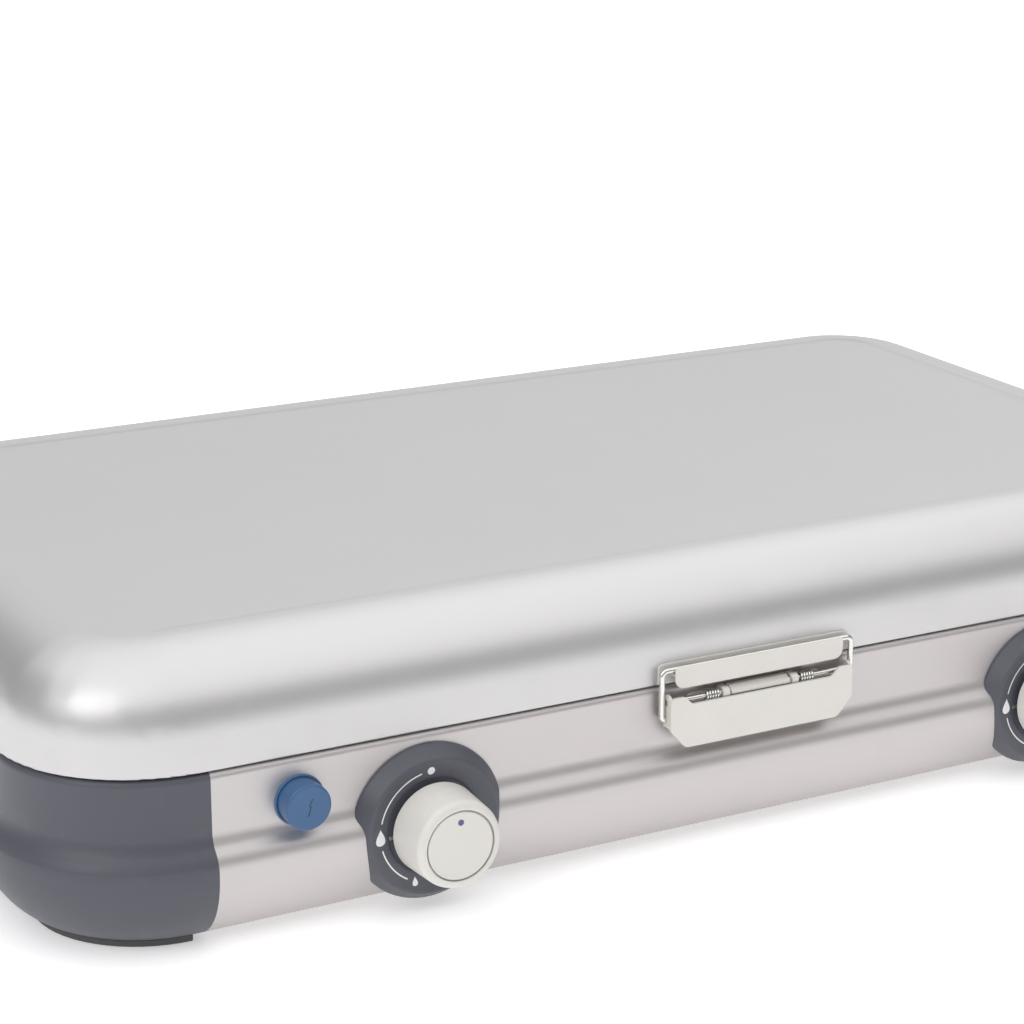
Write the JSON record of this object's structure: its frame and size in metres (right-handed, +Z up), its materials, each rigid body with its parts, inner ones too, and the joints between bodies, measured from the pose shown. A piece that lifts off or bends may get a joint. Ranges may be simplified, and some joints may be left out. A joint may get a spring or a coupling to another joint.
{
  "type": "camping stove",
  "caption": "Lidded table-top gas camping stove with front control knobs, push igniter, toggle latch, moulded end caps and a hinged lid with folding windshields.",
  "frame": {"origin": "on the ground, under the centre of the closed stove's box", "axes": "+X along the length towards the right end, +Y towards the hinges at the rear, +Z up"},
  "size_m": [0.608, 0.4067, 0.116],
  "materials": {
    "pressed_steel": "satin metallic lacquer on pressed steel",
    "grey_plastic": "moulded slate grey, satin",
    "rubber": "soft moulded, matt",
    "enamel": "black vitreous enamel, glossy",
    "cast_aluminium": "die cast, matt",
    "plated_steel": "bright zinc plate",
    "brass": "machined",
    "copper": "drawn tube",
    "blue_plastic": "moulded blue, satin gloss",
    "black_plastic": "moulded",
    "ceramic": "glazed insulator with steel tip",
    "lead_sleeve": "silicone sleeve",
    "ivory_plastic": "moulded off-white, satin",
    "ivory_paint": "ivory enamel paint, satin gloss",
    "windshield_steel": "satin lacquer"
  },
  "bodies": {
    "base": {"base_shell": "pressed_steel", "end_cap_left": "grey_plastic", "end_cap_right": "grey_plastic", "bezel_left": "grey_plastic", "bezel_right": "grey_plastic", "feet": "rubber", "hob_tray": "enamel", "tray_rim": "enamel", "burner_cap_left": "enamel", "burner_cap_right": "enamel", "burner_cup_left": "cast_aluminium", "burner_cup_right": "cast_aluminium", "burner_crown_left": "cast_aluminium", "burner_crown_right": "cast_aluminium", "mixing_tube_left": "plated_steel", "mixing_tube_right": "plated_steel", "valve_bracket_left": "plated_steel", "valve_bracket_right": "plated_steel", "hinge_leaves_base": "plated_steel", "hinge_pins": "plated_steel", "hinge_rivets_base": "plated_steel", "tray_screws": "plated_steel", "cap_screws": "plated_steel", "latch_pin": "plated_steel", "latch_springs": "plated_steel", "pan_support_left": "plated_steel", "pan_support_right": "plated_steel", "valve_left": "brass", "valve_right": "brass", "jet_left": "brass", "jet_right": "brass", "gas_inlet": "brass", "gas_pipe": "copper", "igniter_bush": "blue_plastic", "igniter_body": "black_plastic", "electrode_left": "ceramic", "electrode_right": "ceramic", "ignition_lead_left": "lead_sleeve", "ignition_lead_right": "lead_sleeve", "latch_bracket": "ivory_paint"},
    "lid": {"lid_shell": "pressed_steel", "hinge_leaves_lid": "plated_steel", "hinge_rivets_lid": "plated_steel", "windshield_brackets": "plated_steel", "windshield_pins": "plated_steel", "latch_strike": "ivory_paint", "strike_rivets": "ivory_paint"},
    "latch_lever": {"latch_lever": "ivory_paint"},
    "latch_bail": {"latch_bail": "plated_steel"},
    "igniter_button": {"igniter_button": "blue_plastic"},
    "windshield_left": {"windshield_left": "windshield_steel"},
    "windshield_right": {"windshield_right": "windshield_steel"},
    "knob_left": {"knob_left": "ivory_plastic", "knob_disc_left": "ivory_plastic", "spindle_left": "plated_steel"},
    "knob_right": {"knob_right": "ivory_plastic", "knob_disc_right": "ivory_plastic", "spindle_right": "plated_steel"}
  },
  "joints": [
    {"name": "lid_hinge", "type": "hinge", "parent": "base", "child": "lid", "pos_m": [0, 0.1785, 0.072], "axis": [-1, 0, 0], "range_deg": [0, 100]},
    {"name": "latch_lever", "type": "hinge", "parent": "base", "child": "latch_lever", "pos_m": [0, -0.1782, 0.066], "axis": [-1, 0, 0], "range_deg": [0, 120]},
    {"name": "latch_bail", "type": "hinge", "parent": "latch_lever", "child": "latch_bail", "pos_m": [0, -0.1776, 0.0588], "axis": [-1, 0, 0], "range_deg": [-194, 0]},
    {"name": "knob_left_turn", "type": "hinge", "parent": "base", "child": "knob_left", "pos_m": [-0.148, -0.174, 0.0356], "axis": [0, -1, 0], "range_deg": [0, 160]},
    {"name": "knob_right_turn", "type": "hinge", "parent": "base", "child": "knob_right", "pos_m": [0.148, -0.174, 0.0356], "axis": [0, -1, 0], "range_deg": [0, 160]},
    {"name": "igniter_press", "type": "slide", "parent": "base", "child": "igniter_button", "axis": [0, 1, 0], "range_m": [0, 0.0045], "stiffness_N_per_m": 900},
    {"name": "windshield_left_fold", "type": "hinge", "parent": "lid", "child": "windshield_left", "pos_m": [-0.243, 0.1785, 0.1095], "axis": [0, 1, 0], "range_deg": [0, 92]},
    {"name": "windshield_right_fold", "type": "hinge", "parent": "lid", "child": "windshield_right", "pos_m": [0.243, 0.1785, 0.1095], "axis": [0, -1, 0], "range_deg": [0, 92]}
  ],
  "couplings": [
    {"joint": "latch_bail", "follows": "latch_lever", "ratio": -1.6},
    {"joint": "windshield_left_fold", "follows": "lid_hinge", "ratio": 0.9},
    {"joint": "windshield_right_fold", "follows": "lid_hinge", "ratio": 0.9}
  ]
}
